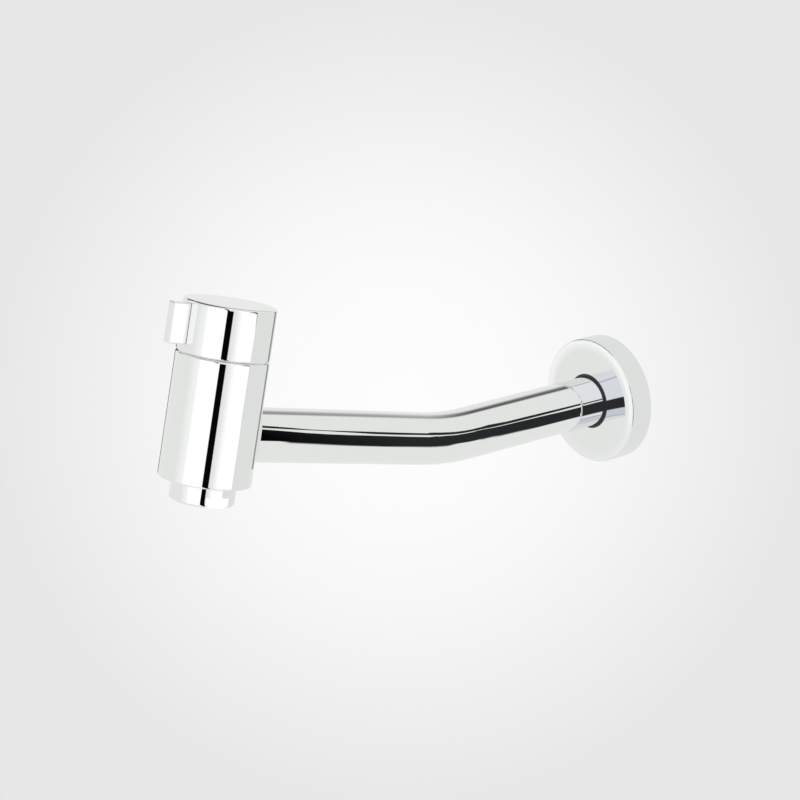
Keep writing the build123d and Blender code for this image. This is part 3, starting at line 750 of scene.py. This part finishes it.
# %% Metal effects
def polish_group():
    """Roughness is the base plus a haze that drifts; Height is a slow wave plus fine scratches."""
    group, entry, leave = new_group(
        "polish",
        {"Vector": None, "Base": 0.03, "Haze": 0.02, "Wave scale": 45.0},
        ("Roughness", "Height"),
    )
    place = entry["Vector"]
    haze = noise(group, place, scale=160, detail=5)
    patches = reckon(group, "MULTIPLY", reckon(group, "POWER", haze, 2), entry["Haze"])
    rough = reckon(group, "ADD", entry["Base"], patches)
    wave = noise(group, place, entry["Wave scale"], detail=1)
    scratches = noise(group, place, scale=2600, detail=2)
    scratch_share = 0.004
    raised = reckon(group, "ADD", wave, reckon(group, "MULTIPLY", scratches, scratch_share))
    group.links.new(rough, leave["Roughness"])
    group.links.new(raised, leave["Height"])
    return group


def turning_group():
    """Rings: one-dimensional noise of the distance along the axis plus that away from it."""
    group, entry, leave = new_group(
        "turning_marks", {"Vector": None, "Fineness": 3000.0}, ("Height", "Tone")
    )
    parts = parts_of(group, entry["Vector"])
    along = reckon(group, "ADD", parts["Z"], length_of(group, parts["X"], parts["Y"]))
    rings = add_node(
        group,
        "ShaderNodeTexNoise",
        {"W": along, "Scale": entry["Fineness"], "Detail": 3.0},
        noise_dimensions="1D",
    )
    group.links.new(rings.outputs["Fac"], leave["Height"])
    group.links.new(noise(group, entry["Vector"], scale=180, detail=4), leave["Tone"])
    return group


effects = {"polish": polish_group(), "turning": turning_group()}
print("metal effects:", sorted(effects))

# %% [markdown]
# Grain and screw threads
#
# Grain is the fine skin of cast, moulded and rubber pieces. A screw thread that nobody sees
# from near is a wave for a Bump node, kept to the place where the thread is cut.


# %% Grain and thread
def grain_group():
    """Height is fine noise; Tone drifts slowly; Speck is 1 in small scattered dots."""
    group, entry, leave = new_group(
        "grain", {"Vector": None, "Fineness": 2500.0, "Drift": 120.0}, ("Height", "Tone", "Speck")
    )
    place = entry["Vector"]
    dot_share = 0.37
    dot_outside, dot_inside = 0.64, 0.72
    dot_scale = reckon(group, "MULTIPLY", entry["Fineness"], dot_share)
    dots = noise(group, place, dot_scale, detail=1)
    speck = rise(group, dots, dot_outside, dot_inside, easing="SMOOTHSTEP")
    group.links.new(noise(group, place, entry["Fineness"], detail=4), leave["Height"])
    group.links.new(noise(group, place, entry["Drift"], detail=3), leave["Tone"])
    group.links.new(speck, leave["Speck"])
    return group


def thread_group():
    """Height of a screw thread: a triangle wave of the axial distance over the pitch plus the
    turn about the axis, where the axial distance and the radius are in the thread's range."""
    group, entry, leave = new_group(
        "cut_thread",
        {"Vector": None, "Pitch": 0.001, "Low": 0.0, "High": 0.0, "Inner": 0.0, "Outer": 1.0},
        ("Height",),
    )
    parts = parts_of(group, entry["Vector"])
    away = length_of(group, parts["X"], parts["Y"])
    turn = reckon(group, "ARCTAN2", parts["Y"], parts["X"])
    turns_done = reckon(group, "DIVIDE", turn, 2 * math.pi)
    pitches = reckon(group, "DIVIDE", parts["Z"], entry["Pitch"])
    wave = reckon(group, "PINGPONG", reckon(group, "ADD", pitches, turns_done), 0.5)
    for value, low, high in ((parts["Z"], "Low", "High"), (away, "Inner", "Outer")):
        after = reckon(group, "GREATER_THAN", value, entry[low])
        before = reckon(group, "LESS_THAN", value, entry[high])
        wave = reckon(group, "MULTIPLY", wave, reckon(group, "MULTIPLY", after, before))
    group.links.new(wave, leave["Height"])
    return group


effects["grain"] = grain_group()
effects["thread"] = thread_group()
print("node groups:", sorted(effects))

# %% [markdown]
# The finishes
#
# Each material places the shared groups and one Principled shader. Metals have Metallic 1 and
# take their look from roughness and fine relief. Rubber, foam and plastic have soft grain
# instead. Bump distances are in metres and tiny, because the real relief is hundredths of a
# millimetre.


# %% Parts of a finish
def use_group(tree, effect, **inputs):
    """The outputs of a shared effect in this material, with its inputs given by name."""
    node = tree.nodes.new("ShaderNodeGroup")
    node.node_tree = effects[effect]
    for name, value in inputs.items():
        socket = node.inputs[name.replace("_", " ").capitalize()]
        if isinstance(value, bpy.types.NodeSocket):
            tree.links.new(value, socket)
        else:
            socket.default_value = value
    return node.outputs


def bump(tree, height_socket, depth, under=None):
    """A normal from a height of 0 to 1 that stands for depth metres."""
    inputs = {"Height": height_socket, "Distance": depth, "Strength": 1.0}
    if under is not None:
        inputs["Normal"] = under
    return add_node(tree, "ShaderNodeBump", inputs).outputs["Normal"]


def cut_thread(tree, place, normal, relief, **sizes):
    """The normal with a screw thread of this relief on it, where its sizes say."""
    cut = use_group(tree, "thread", vector=place, **sizes)
    return bump(tree, cut["Height"], relief, normal)


def close_material(material, **inputs):
    """Ends a material with one Principled shader that has these inputs."""
    named = {name.replace("_", " "): value for name, value in inputs.items()}
    shader = add_node(material.node_tree, "ShaderNodeBsdfPrincipled", named)
    add_node(material.node_tree, "ShaderNodeOutputMaterial", {"Surface": shader.outputs[0]})
    return material


print("parts of a finish: use_group, bump, cut_thread, close_material")

# %% [markdown]
# Polished chrome
#
# Chrome plating is nearly a mirror. Its colour drifts a little between a cool and a warm grey,
# and the polish is softer at the flange's outer edge, where it is handled.

# %% Chrome
chrome_cool = (0.868, 0.876, 0.884, 1)
chrome_warm = (0.88, 0.884, 0.888, 1)
polish_relief = 0.000004
worn_softness = 0.0004
worn_roughness = 0.2


def chrome(name, thread=None, worn_edge=None):
    """Polished chrome, with a bumped screw thread where thread gives its values. worn_edge is a
    radius and a height on the wall's axis, past which the polish is soft."""
    material = new_material(name)
    tree = material.node_tree
    place = object_place(tree)
    polish = use_group(tree, "polish", vector=place, base=0.012, haze=0.03)
    drift = noise(tree, place, scale=30, detail=2)
    tint = mix_colours(tree, drift, chrome_cool, chrome_warm)
    normal = bump(tree, polish["Height"], polish_relief)
    if thread:
        normal = cut_thread(tree, axis_coordinates(tree, "head"), normal, **thread)
    roughness = polish["Roughness"]
    if worn_edge:
        parts = parts_of(tree, axis_coordinates(tree, "wall"))
        away = length_of(tree, parts["X"], parts["Y"])
        out = reckon(tree, "ABSOLUTE", parts["Z"])
        edges = [
            between(tree, value, start, 1, worn_softness)
            for value, start in zip((away, out), worn_edge)
        ]
        worn = reckon(tree, "MULTIPLY", reckon(tree, "MULTIPLY", *edges), worn_roughness)
        roughness = reckon(tree, "ADD", roughness, worn)
    return close_material(
        material, Base_Color=tint, Metallic=1.0, Roughness=roughness, Normal=normal
    )


print("chrome's relief in micrometres:", round(1e6 * polish_relief, 1))

# %% [markdown]
# Turned metal and soft skins
#
# Bare brass and steel show the rings of the lathe. A soft skin is rubber, foam, ceramic or
# plastic, in two close tones with specks.

# %% Turned metal and soft skins
turning_relief = 0.000012
ring_roughness = 0.14
grain_roughness = 0.16


def turned_metal(name, region, tones, rough, fineness=3000.0, thread=None):
    """Turned metal between two colours, with rings round the axis of its region."""
    material = new_material(name)
    tree = material.node_tree
    place = axis_coordinates(tree, region)
    marks = use_group(tree, "turning", vector=place, fineness=fineness)
    tone = mix_colours(tree, marks["Tone"], *tones)
    spread = reckon(tree, "MULTIPLY", marks["Height"], ring_roughness)
    roughness = reckon(tree, "ADD", spread, rough)
    normal = bump(tree, marks["Height"], turning_relief)
    if thread:
        normal = cut_thread(tree, place, normal, **thread)
    return close_material(
        material, Base_Color=tone, Metallic=1.0, Roughness=roughness, Normal=normal
    )


def soft_skin(name, dark, pale, rough, fineness, depth, specks=0.0):
    """A non-metal with a fine skin: two tones, scattered specks and a shallow relief."""
    material = new_material(name)
    tree = material.node_tree
    skin = use_group(tree, "grain", vector=object_place(tree), fineness=fineness)
    tone = mix_colours(tree, skin["Tone"], (*dark, 1), (*pale, 1))
    lifted = tuple(min(1.0, 1.25 * part + 0.03) for part in pale)
    dots = reckon(tree, "MULTIPLY", skin["Speck"], specks)
    spread = reckon(tree, "MULTIPLY", skin["Height"], grain_roughness)
    return close_material(
        material,
        Base_Color=mix_colours(tree, dots, tone, (*lifted, 1)),
        Roughness=reckon(tree, "ADD", spread, rough),
        Normal=bump(tree, skin["Height"], depth),
    )


print("more kinds of finish: turned_metal, soft_skin")

# %% [markdown]
# The tap's own finishes
#
# The threads that nobody sees, inside the head, are relief only: a pitch, the two ends along
# the head's axis and the two radii between which they are cut, in metres.

# %% Finishes
brass = ((0.66, 0.49, 0.25, 1), (0.8, 0.64, 0.37, 1))
steel = ((0.56, 0.56, 0.55, 1), (0.68, 0.68, 0.67, 1))
brass_rough = 0.16
steel_rough = 0.2
steel_fineness = 2200.0
aerator_thread = {
    "relief": 0.0011,
    "pitch": 0.001,
    "low": -0.0205,
    "high": -0.0152,
    "inner": 0.0118,
    "outer": 0.0121,
}
cartridge_thread = {
    "relief": 0.0014,
    "pitch": 0.001814,
    "low": 0.0172,
    "high": 0.0266,
    "inner": 0.0103,
    "outer": 0.0106,
}
soft_skins = {
    # dark and pale tone, roughness, fineness, relief in metres, share of specks
    "rubber": ((0.016, 0.016, 0.018), (0.028, 0.028, 0.03), 0.42, 2400.0, 0.00002, 0.12),
    "foam": ((0.36, 0.36, 0.37), (0.46, 0.46, 0.46), 0.72, 1100.0, 0.00025, 0.5),
    "ceramic": ((0.83, 0.82, 0.79), (0.88, 0.87, 0.84), 0.08, 5000.0, 0.000002, 0.2),
    "slip_plastic": ((0.76, 0.76, 0.72), (0.83, 0.83, 0.79), 0.3, 1800.0, 0.00001, 0.1),
    "black_plastic": ((0.024, 0.024, 0.025), (0.036, 0.036, 0.037), 0.36, 3200.0, 0.00001),
    "grey_plastic": ((0.46, 0.47, 0.48), (0.53, 0.54, 0.55), 0.34, 3200.0, 0.00001),
}
finishes = {
    "chrome": chrome("chrome"),
    "chrome_flange": chrome("chrome_flange", worn_edge=(0.0298, 0.0118)),
    "chrome_aerator": chrome("chrome_aerator", thread=aerator_thread),
    "brass_wall": turned_metal("brass_wall", "wall", brass, brass_rough),
    "brass_head": turned_metal("brass_head", "head", brass, brass_rough),
    "brass_cartridge": turned_metal(
        "brass_cartridge", "head", brass, brass_rough, thread=cartridge_thread
    ),
    "steel_wall": turned_metal("steel_wall", "wall", steel, steel_rough, steel_fineness),
    "steel_head": turned_metal("steel_head", "head", steel, steel_rough, steel_fineness),
}
finishes.update({name: soft_skin(name, *values) for name, values in soft_skins.items()})
print("finishes:", len(finishes))

# %% [markdown]
# A finish for every node
#
# The frame's pieces keep their meshes. Each gets the finish of its material, so nothing is
# left with the plain colour that it was packed with.

# %% Finish the nodes
node_finishes = {
    "chrome": ("spout_tube", "head_body", "knob", "lever_tab"),
    "chrome_flange": ("wall_flange",),
    "chrome_aerator": ("aerator_shell",),
    "brass_wall": ("tail_bush",),
    "brass_head": ("spindle",),
    "brass_cartridge": ("cartridge_housing",),
    "steel_wall": ("tail_screw",),
    "steel_head": ("knob_screw", "spindle_clip", "aerator_screens"),
    "rubber": (
        "nipple_orings",
        "flange_ring",
        "cartridge_oring",
        "seat_seal",
        "spindle_orings",
        "aerator_gasket",
    ),
    "foam": ("flange_seal",),
    "ceramic": ("fixed_disc", "turning_disc"),
    "slip_plastic": ("slip_washer", "guide_ring"),
    "black_plastic": ("knob_insert",),
    "grey_plastic": ("aerator_cage", "flow_restrictor"),
}
finished = set()
for finish, members in node_finishes.items():
    for node in members:
        for place in nodes[node].material_slots:
            place.material = finishes[finish]
        finished.add(node)
print("nodes left for later:", sorted(set(nodes) - finished))

# %% [markdown]
# The wall nipple with its thread
#
# The nipple is the turned brass piece that screws into the wall fitting. Its thread shows from
# behind, so it is a real helix here and replaces the frame's plain cylinder. The surface is a
# grid: one closed outline, carried once round the axis, whose radius may change with the turn.
# The outline goes along the outside from the wall fitting to the tube, and back in the bore.

# %% Nipple outline
pitch = 1.814
thread_start = -15
crest = 10.4775
thread_depth = 1.162
bore = 5.5
collar, collar_edge = 13.4775, 13.18
spigot, spigot_edge = 8.62, 8.02
screw_groove = 7.72
ring_groove = 7.22
hexagon_inradius = 6.0
as_thread, as_hexagon = 0, -1
columns = 144
rows_per_turn = 14
thread_rows = np.arange(thread_start, 0.9, pitch / rows_per_turn)
outline = np.array(
    # distance out of the wall and radius in mm, or what the radius is worked out as
    [(thread_start, bore)]
    + [(out, as_thread) for out in thread_rows]
    + [(1, crest), (1, collar_edge), (1.3, collar), (3.7, collar), (4, collar_edge), (4, spigot)]
    + [(6.5, spigot), (6.5, screw_groove), (12.5, screw_groove), (12.5, spigot)]
    + [(16.95, spigot), (16.95, ring_groove), (19.05, ring_groove), (19.05, spigot)]
    + [(23.45, spigot), (23.45, ring_groove), (25.55, ring_groove), (25.55, spigot)]
    + [(31.4, spigot), (32, spigot_edge), (32, as_hexagon), (23, as_hexagon), (23, bore)]
)
print("rows of the outline:", len(outline))

# %% [markdown]
# The nipple's surface
#
# The thread has flat crests and roots, so the wave that makes it is cut off at both ends. It
# fades out before the collar, and a chamfer of 1 mm leads into it at its start.

# %% Nipple surface
crest_flat = 0.14
flank_width = 0.72
fade_end = 0.6
chamfer = 1


def nipple_radii(out, radius, turn):
    """Radius at each row and turn. The thread is a wave of out / pitch - turn / full turn with
    flat crests and roots, fades out before the collar and is chamfered at its start. The
    hexagon is its inradius over the cosine of the turn to the middle of the nearest side."""
    wave = np.abs(((out / pitch - turn / (2 * np.pi)) % 1) * 2 - 1)
    flank = np.clip((wave - crest_flat) / flank_width, 0, 1)
    fade = np.clip((fade_end - out) / pitch, 0, 1)
    cut = crest - thread_depth * (1 - flank) * fade
    threaded = np.minimum(cut, crest - np.clip(thread_start + chamfer - out, 0, 1))
    side = (turn + np.pi / 6) % (np.pi / 3) - np.pi / 6
    hexagon = hexagon_inradius / np.cos(side)
    return np.where(
        radius == as_thread, threaded, np.where(radius == as_hexagon, hexagon, radius)
    )


turns = np.linspace(0, 2 * np.pi, columns, endpoint=False)
out, turn = np.meshgrid(outline[:, 0], turns, indexing="ij")
radius = nipple_radii(out, outline[:, 1:], turn)
points = np.stack([radius * np.cos(turn), -out, radius * np.sin(turn)], axis=-1) / 1000
index = np.arange(radius.size).reshape(radius.shape)
beside = np.roll(index, -1, axis=1)
corners = [index, beside, np.roll(beside, -1, axis=0), np.roll(index, -1, axis=0)]
faces = np.stack(corners, axis=-1).reshape(-1, 4)
print("nipple faces:", len(faces))

# %% [markdown]
# The nipple as a piece
#
# The mesh is smooth except where two faces meet at a clear angle, as turned metal is. The
# piece rides on the spout and takes the place of the frame's nipple.

# %% Nipple piece
sharp_angle = math.radians(28)
mesh = bpy.data.meshes.new("nipple_threaded")
mesh.from_pydata(points.reshape(-1, 3).tolist(), [], faces.tolist())
mesh.polygons.foreach_set("use_smooth", np.ones(len(faces), dtype=bool))
mesh.set_sharp_from_angle(angle=sharp_angle)
mesh.materials.append(finishes["brass_wall"])
nipple = bpy.data.objects.new("nipple_threaded", mesh)
bpy.context.scene.collection.objects.link(nipple)
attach(nipple, "spout")
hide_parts("wall_nipple")
print("nipple points:", len(mesh.vertices))
